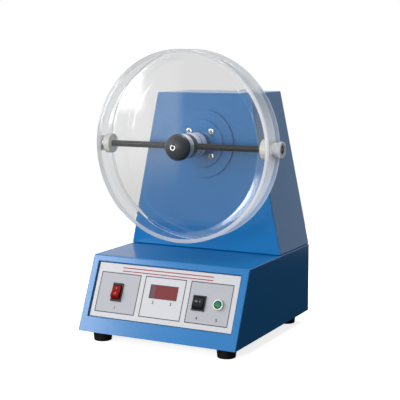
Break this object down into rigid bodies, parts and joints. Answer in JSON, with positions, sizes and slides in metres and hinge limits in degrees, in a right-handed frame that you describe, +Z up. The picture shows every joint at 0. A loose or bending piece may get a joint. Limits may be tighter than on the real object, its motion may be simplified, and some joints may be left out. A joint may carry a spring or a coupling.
{
  "type": "tablet friability tester",
  "caption": "Clear drum with a clamped clear cover, turned on a geared shaft in front of a tapered sheet-metal tower on a base with a slanted control panel.",
  "frame": {"origin": "on the floor, under the middle of the tester's bounding box", "axes": "+Z up, -Y out through the drum's cover towards the user, +X to the user's right; the drum's axis is parallel to Y"},
  "size_m": [0.3194, 0.2906, 0.4515],
  "materials": {
    "blue_paint": "semi-gloss",
    "zinc_sheet": "satin",
    "cast_zinc": "satin",
    "painted_iron": "matte",
    "steel": "satin",
    "chrome": "gloss",
    "brass": "satin",
    "black_rubber": "matte",
    "red_rubber": "matte",
    "white_plate": "satin",
    "black_plastic": "semi-gloss",
    "red_plastic": "gloss",
    "green_plastic": "gloss",
    "nylon": "satin",
    "clear_acrylic": "gloss",
    "red_filter": "gloss",
    "circuit_board": "satin",
    "wound_copper": "gloss"
  },
  "bodies": {
    "base_and_tower": {"base_housing": "blue_paint", "base_plate": "zinc_sheet", "foot_front_left": "black_rubber", "foot_front_right": "black_rubber", "foot_rear_left": "black_rubber", "foot_rear_right": "black_rubber", "tower_housing": "blue_paint", "tower_rear_cover": "blue_paint", "panel_plate": "white_plate", "display_window": "red_filter", "display_module": "circuit_board", "power_switch_body": "black_plastic", "timer_switch_body": "black_plastic", "start_button_bezel": "chrome", "bearing_flange": "blue_paint", "flange_screw_1": "steel", "flange_screw_2": "steel", "flange_screw_3": "steel", "flange_screw_4": "steel", "front_bearing_outer_ring": "steel", "front_bearing_ball_ring": "brass", "rear_bearing_outer_ring": "steel", "rear_bearing_ball_ring": "brass", "count_sensor": "black_plastic", "motor_bracket": "zinc_sheet", "gearbox": "cast_zinc", "drive_motor": "painted_iron", "control_board": "circuit_board", "transformer_core": "painted_iron", "transformer_winding": "wound_copper", "mains_inlet": "black_plastic", "inlet_pin_live": "brass", "inlet_pin_earth": "brass", "inlet_pin_neutral": "brass", "fuse_holder": "black_plastic"},
    "drum": {"drum_shell": "clear_acrylic", "hub_sleeve": "steel", "hub_block": "black_plastic", "hub_ring": "chrome", "crossbar": "black_plastic", "collar_left": "nylon", "collar_right": "nylon", "collar_nut_left": "nylon", "collar_nut_right": "nylon", "drive_shaft": "steel", "front_bearing_inner_ring": "steel", "rear_bearing_inner_ring": "steel", "count_disc": "black_plastic", "coupling_front_hub": "cast_zinc", "coupling_spider": "red_rubber", "coupling_rear_hub": "cast_zinc", "gearbox_shaft": "steel"},
    "cover": {"drum_cover": "clear_acrylic"},
    "knob": {"cover_knob": "black_plastic", "knob_insert": "steel"},
    "power_switch_rocker": {"power_rocker": "red_plastic"},
    "timer_switch_rocker": {"timer_rocker": "black_plastic"},
    "start_button": {"start_button_cap": "green_plastic"},
    "fuse_holder_cap": {"fuse_cap": "black_plastic"}
  },
  "joints": [
    {"name": "drum_spin", "type": "hinge", "parent": "base_and_tower", "child": "drum", "pos_m": [-0.0034, -0.03915, 0.3025], "axis": [0, 1, 0], "continuous": true},
    {"name": "cover_off", "type": "slide", "parent": "drum", "child": "cover", "axis": [0, -1, 0], "range_m": [0, 0.12]},
    {"name": "knob_turn", "type": "hinge", "parent": "cover", "child": "knob", "pos_m": [-0.0034, -0.06315, 0.3025], "axis": [0, 1, 0], "continuous": true},
    {"name": "power_rocker_tip", "type": "hinge", "parent": "base_and_tower", "child": "power_switch_rocker", "pos_m": [-0.084, -0.1158, 0.07784], "axis": [1, 0, 0], "range_deg": [0, 24]},
    {"name": "timer_rocker_tip", "type": "hinge", "parent": "base_and_tower", "child": "timer_switch_rocker", "pos_m": [0.0591, -0.11661, 0.07601], "axis": [1, 0, 0], "range_deg": [0, 24]},
    {"name": "start_button_press", "type": "slide", "parent": "base_and_tower", "child": "start_button", "axis": [0, 0.9137, -0.4064], "range_m": [0, 0.002], "stiffness_N_per_m": 300},
    {"name": "fuse_cap_turn", "type": "hinge", "parent": "base_and_tower", "child": "fuse_holder_cap", "pos_m": [-0.0414, 0.14205, 0.06], "axis": [0, 1, 0], "range_deg": [0, 60]}
  ]
}
